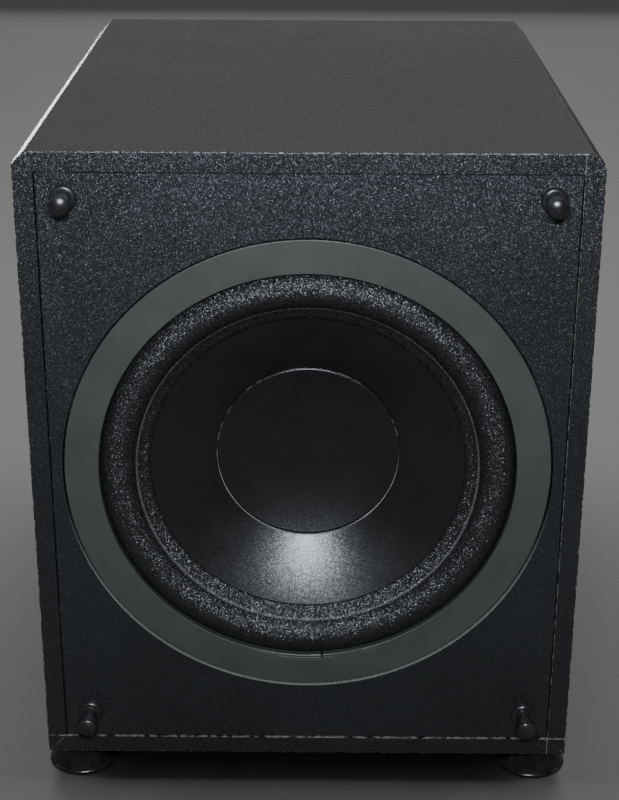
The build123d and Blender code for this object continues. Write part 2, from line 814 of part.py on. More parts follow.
def inlet_pins():
    """Three flat pins with solder tails."""
    made = []
    for u, v in inlet_pin_places:
        place = (inlet_place[0] + u, inlet_place[1] + v)
        made.append(rear_block(place, 2.0, 4.0, -18, 2.4))
    return Compound(children=made)


def mains_inlet():
    """Moulded mains socket, with no cord in it."""
    body = rear_panel(inlet_place, 33, 26, 2.5, plate_outer, plate_outer + 2.4)
    body += rear_block(inlet_place, inlet_width, inlet_height, -14, plate_outer + 1)
    body -= inlet_socket(24.4, 16.6, inlet_floor, plate_outer + 4)
    for pin in inlet_pins().solids():
        body -= pin
    return body


def line_jacks():
    """Double phono jack block with its two insulators."""
    middle = (jack_places[0][0] + jack_places[1][0]) / 2
    body = rear_block((middle, jack_places[0][1]), 42, 18, board_face, plate_inner)
    for place in jack_places:
        body += rear_rod(place, jack_collar_radius, plate_inner - 0.5, plate_outer + 0.8)
        body -= rear_rod(place, jack_radius - jack_step, plate_inner, jack_reach)
        body += rear_rod(place, jack_core_radius, plate_inner - 1, jack_reach - 0.8)
        body -= rear_rod(place, jack_bore, plate_inner + 1, jack_reach)
    return body


def line_jack_sleeves():
    """Metal outer contacts of the phono jacks, stepped where they leave the block."""
    made = []
    for place in jack_places:
        body = rear_rod(place, jack_radius, plate_outer + 0.8, jack_reach)
        body += rear_rod(place, jack_radius - jack_step, plate_inner, plate_outer + 1)
        made.append(body - rear_rod(place, jack_core_radius, plate_inner - 1, jack_reach + 1))
    return Compound(children=made)


def status_lamp():
    """Small domed lamp pushed through the plate."""
    body = rear_rod(lamp_place, lamp_radius, plate_inner - 3, plate_outer + 0.6)
    body += rear * Pos(lamp_place[0], lamp_place[1], plate_outer + 0.6) * Sphere(lamp_radius)
    return body + rear_rod(lamp_place, lamp_radius + 0.9, plate_inner - 3, plate_inner)


def lever_places():
    """Pivot places (u, v) of the four levers."""
    first = terminal_place[0] - lever_pitch * (lever_count - 1) / 2
    return [(first + i * lever_pitch, terminal_place[1] + lever_pivot[0]) for i in range(lever_count)]


def speaker_terminal_block():
    """Block with four lever pockets and the wire holes under them."""
    body = rear_panel(terminal_place, block_width, block_height, 1.5, plate_outer, block_face)
    body = fillet(body.faces().sort_by(Axis.Y)[-1].edges(), 0.6)
    body += rear_block(terminal_place, block_width - 4, block_height - 4, board_face, plate_outer + 0.5)
    above, below = 2.6, 11.6
    for u, v in lever_places():
        pocket = (u, v + (above - below) / 2)
        body -= rear_block(pocket, lever_width + 0.8, above + below, lever_pivot[1] - 3.2, block_face + 3)
        body -= across((u, v), lever_pivot[1], lever_pin_radius + running_fit, lever_width + 2.4)
        body -= rear_rod((u, v - 17.2), 1.7, block_face - 9, block_face + 1)
    return body


def terminal_lever(place):
    """Push lever on two stub pins, closed."""
    points = [(1.6, -1.6), (1.6, 1.4), (-8.6, 2.8), (-9.6, 4.2), (-11, 4.2), (-11, 1.2), (-1.6, -1.6)]
    body = side_profile(place, lever_pivot[1], points, lever_width)
    return body + across(place, lever_pivot[1], lever_pin_radius, lever_width + 2.0)


# ---------- leads ----------

def lead_route(x_end, x_start):
    """Corners of one lead from the circuit board under the magnet to the driver's tab."""
    start = box_depth - rear_recess + board_face - circuit_board_thickness
    end = terminal_strip_depth + terminal_strip_thickness + terminal_tab_length
    depths = (start, 352, 306, 252, 196, 146, 104, end)
    heights = (122, 122, 104, 94, 95, 106, terminal_height, terminal_height)
    drift = (0, 0, 0.16, 0.42, 0.68, 0.88, 1.0, 1.0)
    return [(x_start + (x_end - x_start) * k, front_y + d, z) for d, z, k in zip(depths, heights, drift)]


def bend_radii(points):
    """Radius of each arc: 0.45 of the shorter run, divided by the tangent of half the turn."""
    radii = []
    for before, here, after in zip(points, points[1:], points[2:]):
        arriving = Vector(here) - Vector(before)
        leaving = Vector(after) - Vector(here)
        turn = math.radians(arriving.get_angle(leaving))
        radii.append(0.45 * min(arriving.length, leaving.length) / math.tan(turn / 2))
    return radii


def speaker_leads():
    """Two insulated leads, each swept along straight runs joined by tangent arcs."""
    made = []
    for x_end, x_start in zip(terminal_tabs_x, (6.0, 12.0)):
        points = lead_route(x_end, x_start)
        radii = bend_radii(points)
        path = FilletPolyline(*points, radius=radii)
        section = Plane(origin=points[0], z_dir=Vector(points[1]) - Vector(points[0])) * Circle(lead_radius)
        lead = sweep(section, path=path)
        print("lead radii", [round(r, 1) for r in radii], "length", round(path.length, 1))
        made.append(lead)
    return Compound(children=made)


# ---------- assembly ----------

parts = wall_boards()
parts["front_baffle"] = front_baffle()
parts["baffle_battens"] = baffle_battens()
parts["rear_board"] = rear_board()
parts["window_brace"] = window_brace()
for name, (x, y) in foot_places().items():
    parts[name] = Pos(x, y, 0) * foot()
parts["foot_screws"] = foot_screws()
for name, (x, z) in peg_places().items():
    parts[name] = front * Pos(x, z, -baffle_recess) * grille_peg()
for make in (basket, trim_ring, flange_gasket, driver_screws, surround, cone, dust_cap, coil_former, voice_coil,
             spider, front_plate, magnet, yoke, driver_terminals, port_tube, amp_plate, amp_gasket, amp_screws,
             heat_sink, circuit_board, transformer_core, transformer_coil, capacitors, line_jacks,
             line_jack_sleeves, control_pots, phase_switch, phase_slider, rocker_frame, power_rocker,
             mains_inlet, inlet_pins, status_lamp, speaker_terminal_block, speaker_leads):
    parts[make.__name__] = make()
parts["level_knob"] = control_knob(level_place)
parts["lowpass_knob"] = control_knob(lowpass_place)
for number, place in enumerate(lever_places(), start=1):
    parts[f"terminal_lever_{number}"] = terminal_lever(place)

os.makedirs("parts", exist_ok=True)
for name, part in parts.items():
    part.label = name
    export_step(part, f"parts/{name}.step")
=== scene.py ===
import math
import random

import bmesh
import bpy
from mathutils import Matrix, Vector


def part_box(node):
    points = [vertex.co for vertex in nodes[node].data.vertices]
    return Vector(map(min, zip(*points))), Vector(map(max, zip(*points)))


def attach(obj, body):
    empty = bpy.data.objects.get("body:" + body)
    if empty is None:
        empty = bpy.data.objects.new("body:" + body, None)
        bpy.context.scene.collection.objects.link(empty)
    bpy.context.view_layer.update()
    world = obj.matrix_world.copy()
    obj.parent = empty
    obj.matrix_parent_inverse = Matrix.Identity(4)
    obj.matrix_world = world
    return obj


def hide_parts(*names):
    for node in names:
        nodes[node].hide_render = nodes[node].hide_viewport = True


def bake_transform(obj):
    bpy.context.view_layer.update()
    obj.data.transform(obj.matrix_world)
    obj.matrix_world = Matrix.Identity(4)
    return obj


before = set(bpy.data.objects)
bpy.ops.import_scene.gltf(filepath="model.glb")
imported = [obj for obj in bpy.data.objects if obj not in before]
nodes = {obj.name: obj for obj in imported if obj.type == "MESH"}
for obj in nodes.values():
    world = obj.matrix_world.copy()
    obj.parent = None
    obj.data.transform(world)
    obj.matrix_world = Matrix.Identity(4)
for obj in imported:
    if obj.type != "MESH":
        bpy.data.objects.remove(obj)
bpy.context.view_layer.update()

# Looks of a powered subwoofer, in metres, in the frame's own coordinates. The front faces -Y.
# "Depth" is the distance behind the cabinet's front plane.

MM = 0.001

# ---------- places worked out from the frame ----------

left_low, left_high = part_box("left_board")
right_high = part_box("right_board")[1]
top_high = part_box("top_board")[1]
bottom_low, bottom_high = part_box("bottom_board")
ring_low, ring_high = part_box("trim_ring")
cone_low, cone_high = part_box("cone")
cap_low, cap_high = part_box("dust_cap")
former_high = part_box("coil_former")[1]
plate_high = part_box("amp_plate")[1]
baffle_low, baffle_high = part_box("front_baffle")

half_width = right_high.x
front_y = left_low.y
back_y = left_high.y
box_bottom = bottom_low.z
box_top = top_high.z
chamfer = box_top - left_high.z
board = bottom_high.z - bottom_low.z
driver_z = (ring_low.z + ring_high.z) / 2
ring_radius = (ring_high.x - ring_low.x) / 2
ring_inner = 117.0 * MM
cap_sheet = 1.0 * MM
cone_thickness = 1.6 * MM
crease_radius = 96.2 * MM
driver_axis = Vector((0, front_y, driver_z))


# ---------- node helpers ----------

class Shader:
    """A material under construction, with short calls for the nodes used here."""

    def __init__(self, name):
        self.material = bpy.data.materials.new(name)
        self.material.use_nodes = True
        self.tree = self.material.node_tree
        self.tree.nodes.clear()
        self.place = self.node("TexCoord").outputs["Object"]

    def node(self, kind, inputs=None, **settings):
        made = self.tree.nodes.new("ShaderNode" + kind)
        for key, value in settings.items():
            setattr(made, key, value)
        for key, value in (inputs or {}).items():
            if isinstance(value, bpy.types.NodeSocket):
                self.tree.links.new(value, made.inputs[key])
            else:
                made.inputs[key].default_value = value
        return made

    def math(self, operation, a, b=0.0, clamp=False):
        return self.node("Math", {0: a, 1: b}, operation=operation, use_clamp=clamp).outputs[0]

    def ramp(self, value, low, high, start=0.0, end=1.0):
        """Smooth step from start, where value is low, to end, where it is high."""
        inputs = {"Value": value, "From Min": low, "From Max": high, "To Min": start, "To Max": end}
        return self.node("MapRange", inputs, interpolation_type="SMOOTHSTEP").outputs[0]

    def mix(self, factor, a, b):
        made = self.node("Mix", {"Factor": factor}, data_type="RGBA")
        for socket, value in ((made.inputs[6], a), (made.inputs[7], b)):
            if isinstance(value, bpy.types.NodeSocket):
                self.tree.links.new(value, socket)
            else:
                socket.default_value = (*value, 1.0)
        return made.outputs[2]

    def stretched(self, x=1.0, y=1.0, z=1.0):
        return self.node("Mapping", {"Vector": self.place, "Scale": (x, y, z)}).outputs[0]

    def noise(self, size, detail=2.0, roughness=0.5, vector=None):
        """Noise whose features are about size metres across."""
        inputs = {"Vector": vector or self.place, "Scale": 1 / size, "Detail": detail, "Roughness": roughness}
        return self.node("TexNoise", inputs).outputs[0]

    def cells(self, size, feature="F1", vector=None):
        inputs = {"Vector": vector or self.place, "Scale": 1 / size}
        return self.node("TexVoronoi", inputs, feature=feature).outputs["Distance"]

    def coordinates(self):
        split = self.node("SeparateXYZ", {"Vector": self.place}).outputs
        return split[0], split[1], split[2]

    def bump(self, height, distance, strength=1.0, before=None):
        inputs = {"Height": height, "Distance": distance, "Strength": strength}
        if before is not None:
            inputs["Normal"] = before
        return self.node("Bump", inputs).outputs[0]

    def facets(self, size, tilt):
        """Normal tipped differently in each small cell, so that a grain glints as skins and foams do."""
        colour = self.node("TexVoronoi", {"Vector": self.place, "Scale": 1 / size}).outputs["Color"]
        tip = self.node("VectorMath", {0: colour, 1: (0.5, 0.5, 0.5)}, operation="SUBTRACT").outputs[0]
        tip = self.node("VectorMath", {0: tip, "Scale": tilt}, operation="SCALE").outputs[0]
        normal = self.node("NewGeometry").outputs["Normal"]
        total = self.node("VectorMath", {0: normal, 1: tip}, operation="ADD").outputs[0]
        return self.node("VectorMath", {0: total}, operation="NORMALIZE").outputs[0]

    def finish(self, **sockets):
        """Principled shader with these values, socket names spelled with underscores."""
        made = self.node("BsdfPrincipled")
        for key, value in sockets.items():
            socket = made.inputs[key.replace("_", " ")]
            if isinstance(value, bpy.types.NodeSocket):
                self.tree.links.new(value, socket)
            elif isinstance(value, tuple) and len(value) == 3 and socket.type == "RGBA":
                socket.default_value = (*value, 1.0)
            else:
                socket.default_value = value
        output = self.node("OutputMaterial")
        self.tree.links.new(made.outputs[0], output.inputs["Surface"])
        return self.material


# ---------- materials ----------

def outline_distance(s):
    """How far inside the cabinet's outer section a point lies."""
    x, _, z = s.coordinates()
    side = s.math("SUBTRACT", half_width, s.math("ABSOLUTE", x))
    top = s.math("SUBTRACT", box_top, z)
    bottom = s.math("SUBTRACT", z, box_bottom)
    slant = s.math("SUBTRACT", s.math("ADD", side, top), chamfer)
    slant = s.math("MULTIPLY", slant, math.sqrt(0.5))
    return s.math("MINIMUM", s.math("MINIMUM", side, top), s.math("MINIMUM", slant, bottom))


def rim_mask(s, width):
    """1 on the cabinet's front and back outer edges, falling to 0 at a width."""
    _, y, _ = s.coordinates()
    inside = outline_distance(s)
    near = s.math("MINIMUM", s.math("SUBTRACT", y, front_y), s.math("SUBTRACT", back_y, y))
    reach = s.math("SQRT", s.math("ADD", s.math("MULTIPLY", inside, inside), s.math("MULTIPLY", near, near)))
    return s.ramp(reach, width, 0.2 * width)


def long_edge_mask(s, width):
    """1 along the two folds of each top chamfer and the bottom long edges, falling to 0 at a width."""
    x, _, z = s.coordinates()
    side = s.math("SUBTRACT", half_width, s.math("ABSOLUTE", x))
    found = None
    for edge_side, edge_z in ((chamfer, box_top), (0.0, box_top - chamfer), (0.0, box_bottom)):
        a = s.math("SUBTRACT", side, edge_side)
        b = s.math("SUBTRACT", z, edge_z)
        reach = s.math("SQRT", s.math("ADD", s.math("MULTIPLY", a, a), s.math("MULTIPLY", b, b)))
        mask = s.ramp(reach, width, 0.2 * width)
        found = mask if found is None else s.math("MAXIMUM", found, mask)
    return found


def about_driver(s):
    """A point's distance from the driver's axis, and its height above that axis."""
    x, _, z = s.coordinates()
    rise = s.math("SUBTRACT", z, driver_z)
    reach = s.math("SQRT", s.math("ADD", s.math("MULTIPLY", x, x), s.math("MULTIPLY", rise, rise)))
    return reach, rise


def spot_mask(s, spots):
    """1 inside small round marks, each (x, y, z, radius)."""
    found = None
    for x, y, z, radius in spots:
        reach = s.node("VectorMath", {0: s.place, 1: (x, y, z)}, operation="DISTANCE").outputs["Value"]
        mask = s.ramp(reach, radius, 0.5 * radius)
        found = mask if found is None else s.math("MAXIMUM", found, mask)
    return found


def seam_wear_and_highlight_mask(s, width):
    """1 on the front frame's inner edges below and to the right of the baffle, where the wrap is rubbed and
    those walls face the light: partly wear, partly a painted highlight.
    """
    x, y, z = s.coordinates()
    below = s.math("ABSOLUTE", s.math("SUBTRACT", z, box_bottom + board))
    beside = s.math("ABSOLUTE", s.math("SUBTRACT", x, half_width - board))
    beside = s.math("ADD", beside, 0.15 * MM)
    near = s.ramp(y, front_y + 1.6 * MM, front_y + 1.4 * MM)
    return s.math("MULTIPLY", near, s.ramp(s.math("MINIMUM", below, beside), width, 0.5 * width))


def wrapped_board():
    """Black vinyl wrap with a fine pebbled grain, rubbed pale along its outer edges."""
    s = Shader("wrapped_board")
    grain = s.noise(0.55 * MM, 2.0, 0.6)
    cloud = s.noise(0.07, 3.0)
    outer = s.math("MAXIMUM", rim_mask(s, 0.75 * MM), s.math("MULTIPLY", long_edge_mask(s, 0.7 * MM), 0.6))
    dashes = s.ramp(s.noise(2.6 * MM, 4.0, 0.7), 0.5, 0.58)
    worn = s.math("MULTIPLY", outer, dashes)
    # Pale dashes on the frame's inner edges below and right of the baffle: partly rubbed wrap, partly a
    # painted highlight where those walls face the light.
    seam_wear_and_highlight = s.math("MULTIPLY", seam_wear_and_highlight_mask(s, 0.5 * MM), s.ramp(s.noise(5 * MM, 4.0, 0.7), 0.42, 0.56))
    base = s.mix(s.ramp(cloud, 0.35, 0.7), (0.0045, 0.0046, 0.005), (0.0057, 0.0058, 0.0063))
    base = s.mix(s.ramp(grain, 0.45, 0.65), base, (0.013, 0.0134, 0.0146))
    lint = s.math("MULTIPLY", s.ramp(s.noise(1.6 * MM, 1.0), 0.79, 0.81),
                  s.ramp(s.noise(0.03, 1.0), 0.58, 0.7))
    base = s.mix(lint, base, (0.2, 0.2, 0.2))
    base = s.mix(worn, base, (0.3, 0.3, 0.29))
    base = s.mix(seam_wear_and_highlight, base, (0.15, 0.14, 0.125))
    nick = [(0.033, front_y + 0.352, box_top, 2.4 * MM), (0.028, front_y + 0.349, box_top, 1.6 * MM)]
    base = s.mix(spot_mask(s, nick), base, (0.002, 0.002, 0.002))
    flecks = [(0.055, front_y + 0.175, box_top, 0.9 * MM), (0.064, front_y + 0.06, box_top, 0.8 * MM),
              (-0.04, front_y + 0.12, box_top, 0.6 * MM)]
    base = s.mix(spot_mask(s, flecks), base, (0.3, 0.3, 0.3))
    rough = s.math("ADD", s.ramp(cloud, 0.3, 0.7, 0.36, 0.4), s.math("MULTIPLY", worn, 0.2))
    return s.finish(Base_Color=base, Roughness=rough,
                    Specular_Tint=(0.84, 0.92, 1.0), Specular_IOR_Level=0.62,
                    Normal=s.bump(grain, 0.05 * MM, 0.6, s.facets(0.46 * MM, 0.43)))


def baffle_wrap():
    """Pebbled black wrap of the inset front, a little bluish, its edges rubbed thin."""
    s = Shader("baffle_wrap")
    grain = s.noise(0.55 * MM, 2.0, 0.6)
    cloud = s.noise(0.06, 3.0)
    base = s.mix(s.ramp(cloud, 0.3, 0.7), (0.0043, 0.0044, 0.0048), (0.0055, 0.0056, 0.0061))
    base = s.mix(s.ramp(grain, 0.45, 0.65), base, (0.0125, 0.0129, 0.0141))
    x, _, z = s.coordinates()
    side = s.math("SUBTRACT", baffle_high.x, s.math("ABSOLUTE", x))
    level = s.math("MINIMUM", s.math("SUBTRACT", z, baffle_low.z), s.math("SUBTRACT", baffle_high.z, z))
    edge = s.math("MINIMUM", side, level)
    rubbed = s.math("MULTIPLY", s.ramp(edge, 0.8 * MM, 0.3 * MM),
                    s.ramp(s.noise(6 * MM, 4.0, 0.7), 0.54, 0.66))
    base = s.mix(rubbed, base, (0.07, 0.07, 0.07))
    reach, rise = about_driver(s)
    # Pale raw board on the lower part of the rebate wall round the trim ring: partly the board's own colour,
    # partly a painted highlight where that wall faces the light.
    rebate_board_and_highlight = s.math("MULTIPLY", s.ramp(s.math("SUBTRACT", reach, ring_radius), 1.9 * MM, 1.2 * MM),
                    s.ramp(rise, -0.01, -0.09))
    base = s.mix(rebate_board_and_highlight, base, (0.15, 0.155, 0.15))
    return s.finish(Base_Color=base, Roughness=s.ramp(cloud, 0.3, 0.7, 0.36, 0.4),
                    Specular_Tint=(0.82, 0.91, 1.0), Specular_IOR_Level=0.7,
                    Normal=s.bump(grain, 0.05 * MM, 0.6, s.facets(0.46 * MM, 0.43)))


def trim_grey():
    """Smooth grey-green moulding with faint mottling, scratched along its inner edge at the bottom."""
    s = Shader("trim_grey")
    cloud = s.noise(0.03, 5.0, 0.65)
    fine = s.noise(0.6 * MM, 2.0)
    base = s.mix(s.ramp(cloud, 0.3, 0.7), (0.021, 0.0255, 0.0235), (0.027, 0.032, 0.0295))
    base = s.mix(s.ramp(fine, 0.5, 0.8), base, (0.034, 0.0395, 0.037))
    reach, rise = about_driver(s)
    x = s.coordinates()[0]
    lines = s.math("SINE", s.math("MULTIPLY", reach, 2 * math.pi / (1.5 * MM)))
    band = s.ramp(reach, ring_inner + 3.6 * MM, ring_inner + 3.0 * MM)
    where = s.math("MULTIPLY", s.ramp(s.math("ABSOLUTE", x), 0.05, 0.02), s.ramp(rise, 0.0, -0.05))
    scratched = s.math("MULTIPLY", s.math("MULTIPLY", band, where), s.ramp(lines, 0.5, 0.9))
    scratched = s.math("MULTIPLY", scratched, s.ramp(s.noise(0.012, 3.0), 0.42, 0.58))
    base = s.mix(scratched, base, (0.13, 0.135, 0.13))
    return s.finish(Base_Color=base, Roughness=s.ramp(cloud, 0.3, 0.7, 0.5, 0.55), Specular_IOR_Level=0.75,
                    Normal=s.bump(fine, 0.03 * MM, 0.5))


def foam():
    """Open-cell foam with a thin skin that glints: dark pores, bright cell walls and a painted highlight
    along the crease.
    """
    s = Shader("foam")
    fine = s.noise(0.5 * MM, 2.0, 0.6)
    reach = about_driver(s)[0]
    painted_crease_highlight = s.ramp(s.math("ABSOLUTE", s.math("SUBTRACT", reach, crease_radius)), 0.7 * MM, 0.3 * MM)
    base = s.mix(s.ramp(fine, 0.45, 0.68), (0.0045, 0.0045, 0.005), (0.019, 0.0195, 0.0215))
    # The crease ring is painted pale: a painted highlight where light catches the crease.
    base = s.mix(s.math("MULTIPLY", painted_crease_highlight, 0.7), base, (0.09, 0.09, 0.092))
    return s.finish(Base_Color=base, Roughness=s.ramp(fine, 0.35, 0.65, 0.44, 0.36), Specular_IOR_Level=0.5,
                    Specular_Tint=(0.94, 0.96, 1.0),
                    Normal=s.bump(fine, 0.1 * MM, 0.6, s.facets(0.52 * MM, 0.8)))


def fold_line():
    """Mitre joint in the wrap: dark, with rubbed pale stretches."""
    s = Shader("fold_line")
    rubbed = s.ramp(s.noise(7 * MM, 3.0), 0.46, 0.56)
    base = s.mix(rubbed, (0.004, 0.004, 0.004), (0.1, 0.1, 0.1))
    return s.finish(Base_Color=base, Roughness=s.ramp(rubbed, 0, 1, 0.8, 0.6))


def cone_black():
    """Pressed black polymer with a satin skin and a very fine grain."""
    s = Shader("cone_black")
    fine = s.noise(0.35 * MM, 2.0)
    cloud = s.noise(0.02, 3.0)
    base = s.mix(s.ramp(cloud, 0.3, 0.7), (0.0062, 0.0062, 0.0067), (0.0074, 0.0074, 0.008))
    rough = s.ramp(cloud, 0.3, 0.7, 0.3, 0.32)
    return s.finish(Base_Color=base, Roughness=rough, Specular_Tint=(0.92, 0.95, 1.0),
                    Normal=s.bump(fine, 0.02 * MM, 0.4, s.facets(0.45 * MM, 0.1)))


def glue():
    """Clear cement that has dried pale in places, its lower part painted pale all along as a painted
    highlight.
    """
    s = Shader("glue")
    dried = s.ramp(s.noise(7 * MM, 3.0), 0.45, 0.58)
    # The bead's lower part is painted pale all along: a painted highlight where light catches the rim below
    # the cap.
    painted_lower_highlight = s.ramp(s.coordinates()[2], driver_z + 0.01, driver_z - 0.03)
    base = s.mix(s.math("MULTIPLY", dried, 0.3), (0.008, 0.008, 0.009), (0.2, 0.2, 0.205))
    base = s.mix(painted_lower_highlight, base, (0.2, 0.2, 0.205))
    return s.finish(Base_Color=base, Roughness=s.ramp(dried, 0, 1, 0.3, 0.45))


def glossy(name, colour, roughness=0.16):
    """Moulded gloss plastic with fine handling scratches."""
    s = Shader(name)
    long_noise = s.noise(0.6 * MM, 3.0, 0.6, s.stretched(1, 1, 0.06))
    cloud = s.noise(6 * MM, 3.0)
    scratched = s.ramp(long_noise, 0.55, 0.8, roughness, roughness + 0.1)
    rough = s.math("ADD", scratched, s.ramp(cloud, 0.4, 0.8, 0, 0.06))
    lighter = tuple(min(1.0, c * 1.5 + 0.004) for c in colour)
    base = s.mix(s.ramp(cloud, 0.35, 0.75), colour, lighter)
    return s.finish(Base_Color=base, Roughness=rough, Normal=s.bump(cloud, 0.02 * MM, 0.3))


def satin(name, colour, roughness=0.42, grain=0.5 * MM, depth=0.05 * MM):
    """Fine-textured moulded plastic or paint."""
    s = Shader(name)
    fine = s.noise(grain, 2.0, 0.6)
    cloud = s.noise(0.02, 3.0)
    lighter = tuple(min(1.0, c * 1.4 + 0.006) for c in colour)
    base = s.mix(s.ramp(cloud, 0.3, 0.75), colour, lighter)
    base = s.mix(s.ramp(fine, 0.6, 0.85), base, tuple(min(1.0, c * 1.8 + 0.01) for c in colour))
    rough = s.ramp(cloud, 0.3, 0.7, roughness - 0.04, roughness + 0.05)
    return s.finish(Base_Color=base, Roughness=rough, Normal=s.bump(fine, depth, 0.6))


def metal(name, colour, roughness=0.3, stretch=(1, 1, 1), size=0.5 * MM, metallic=1.0):
    """Brushed or plated metal, its brushing along the least stretched direction."""
    s = Shader(name)
    lines = s.noise(size, 3.0, 0.6, s.stretched(*stretch))
    stain = s.noise(0.012, 3.0)
    darker = tuple(c * 0.72 for c in colour)
    base = s.mix(s.ramp(stain, 0.35, 0.75), colour, darker)
    brushed = s.ramp(lines, 0.3, 0.7, roughness - 0.06, roughness + 0.1)
    rough = s.math("ADD", brushed, s.ramp(stain, 0.5, 0.8, 0, 0.1))
    return s.finish(Base_Color=base, Metallic=metallic, Roughness=rough, Normal=s.bump(lines, 0.02 * MM, 0.5))


def bare_board():
    """Raw fibreboard."""
    s = Shader("bare_board")
    fibres = s.noise(1.5 * MM, 4.0, 0.7)
    base = s.mix(s.ramp(fibres, 0.35, 0.7), (0.24, 0.15, 0.08), (0.42, 0.29, 0.17))
    return s.finish(Base_Color=base, Roughness=s.ramp(fibres, 0.3, 0.7, 0.75, 0.9),
                    Normal=s.bump(fibres, 0.1 * MM, 0.6))


def winding(name, colour, pitch, axis):
    """Enamelled wire laid in turns across an axis (0 X, 1 Y, 2 Z)."""
    s = Shader(name)
    along = s.coordinates()[axis]
    turn = s.math("SINE", s.math("MULTIPLY", along, 2 * math.pi / pitch))
    shade = s.ramp(turn, -1.0, 1.0)
    # The base colour is painted darker in the grooves between the turns: painted shade.
    base = s.mix(shade, tuple(c * 0.35 for c in colour), colour)
    return s.finish(Base_Color=base, Metallic=0.9, Roughness=s.ramp(turn, -1, 1, 0.5, 0.28),
                    Normal=s.bump(shade, 0.25 * pitch, 0.9))


def cloth(name, colour, pitch):
    """Woven cloth stiffened with resin."""
    s = Shader(name)
    x, _, z = s.coordinates()
    warp = s.math("SINE", s.math("MULTIPLY", x, 2 * math.pi / pitch))
    weft = s.math("SINE", s.math("MULTIPLY", z, 2 * math.pi / pitch))
    weave = s.ramp(s.math("MULTIPLY", warp, weft), -1.0, 1.0)
    stain = s.noise(8 * MM, 3.0)
    base = s.mix(weave, tuple(c * 0.5 for c in colour), colour)
    base = s.mix(s.ramp(stain, 0.4, 0.8), base, tuple(c * 0.7 for c in colour))
    return s.finish(Base_Color=base, Roughness=s.ramp(weave, 0, 1, 0.85, 0.7),
                    Normal=s.bump(weave, 0.1 * MM, 0.8))


def circuit():
    """Green solder mask over copper tracks."""
    s = Shader("circuit")
    tracks = s.node("TexBrick", {"Vector": s.stretched(1, 1, 1), "Scale": 220.0, "Mortar Size": 0.06},
                    offset=0.3, squash=1.4).outputs["Fac"]
    mottled = s.noise(4 * MM, 3.0)
    base = s.mix(s.ramp(tracks, 0.2, 0.8), (0.01, 0.09, 0.03), (0.03, 0.17, 0.06))
    base = s.mix(s.ramp(mottled, 0.5, 0.8), base, (0.02, 0.12, 0.05))
    return s.finish(Base_Color=base, Roughness=s.ramp(mottled, 0.3, 0.7, 0.25, 0.35),
                    Normal=s.bump(tracks, 0.05 * MM, 0.5))


def paint(node, material):
    """Gives every material slot of a CAD node, or of a piece, one material."""
    item = nodes.get(node, node) if isinstance(node, str) else node
    item.data.materials.clear()
    item.data.materials.append(material)


# ---------- mesh helpers ----------

def mesh_piece(name, vertices, faces, material, smooth=True):
    mesh = bpy.data.meshes.new(name)
    mesh.from_pydata([tuple(v) for v in vertices], [], faces)
    mesh.validate()
    mesh.update()
    piece = bpy.data.objects.new(name, mesh)
    bpy.context.scene.collection.objects.link(piece)
    mesh.materials.append(material)
    if smooth:
        mesh.polygons.foreach_set("use_smooth", [True] * len(mesh.polygons))
    return piece


def merge_close(piece):
    """Joins vertices that share a place, such as a lathe's on its axis, and drops the empty faces."""
    bm = bmesh.new()
    bm.from_mesh(piece.data)
    bmesh.ops.remove_doubles(bm, verts=bm.verts, dist=0.001 * MM)
    bm.to_mesh(piece.data)
    bm.free()
    piece.data.polygons.foreach_set("use_smooth", [True] * len(piece.data.polygons))


def arc(centre, radius, start, end, count):
    """Points on an arc from one angle to another, in degrees."""
    angles = [math.radians(start + (end - start) * i / count) for i in range(count + 1)]
    return [(centre[0] + radius * math.cos(a), centre[1] + radius * math.sin(a)) for a in angles]


def lathe(name, profile, material, segments=288, closed=True, origin=driver_axis):
    """Revolves (radius, depth) points about a line along Y. A closed profile makes a solid ring."""
    count = len(profile)
    vertices = []
    for k in range(segments):
        turn = 2 * math.pi * k / segments
        for r, d in profile:
            vertices.append((origin.x + r * math.cos(turn), origin.y + d, origin.z + r * math.sin(turn)))
    faces = []
    for k in range(segments):
        after = (k + 1) % segments
        for i in range(count if closed else count - 1):
            j = (i + 1) % count
            faces.append((k * count + i, after * count + i, after * count + j, k * count + j))
    return mesh_piece(name, vertices, faces, material)


def add_box(made, low, high):
    """Adds a box between two corners to a pair of lists, vertices and faces."""
    vertices, faces = made
    base = len(vertices)
    for z in (low[2], high[2]):
        for x, y in ((low[0], low[1]), (high[0], low[1]), (high[0], high[1]), (low[0], high[1])):
            vertices.append((x, y, z))
    for quad in ((0, 3, 2, 1), (4, 5, 6, 7), (0, 1, 5, 4), (1, 2, 6, 5), (2, 3, 7, 6), (3, 0, 4, 7)):
        faces.append(tuple(base + q for q in quad))


# ---------- soft driver pieces ----------

def circle_through(a, b, c):
    """Centre of the circle through three points."""
    d = 2 * (a[0] * (b[1] - c[1]) + b[0] * (c[1] - a[1]) + c[0] * (a[1] - b[1]))
    sa, sb, sc = (p[0] ** 2 + p[1] ** 2 for p in (a, b, c))
    x = (sa * (b[1] - c[1]) + sb * (c[1] - a[1]) + sc * (a[1] - b[1])) / d
    y = (sa * (c[0] - b[0]) + sb * (a[0] - c[0]) + sc * (b[0] - a[0])) / d
    return x, y


def cone_face(radius):
    """Depth of the cone's front face at a radius: an arc through its edge, the cap's seat and its neck."""
    edge = (cone_high.x, cone_low.y - front_y)
    seat = (cap_high.x, cap_low.y - front_y + cap_sheet)
    neck = (former_high.x, cone_high.y - front_y - cone_thickness)
    x, y = circle_through(edge, seat, neck)
    reach = math.dist((x, y), edge)
    return y + math.copysign(math.sqrt(reach ** 2 - (radius - x) ** 2), edge[1] - y)


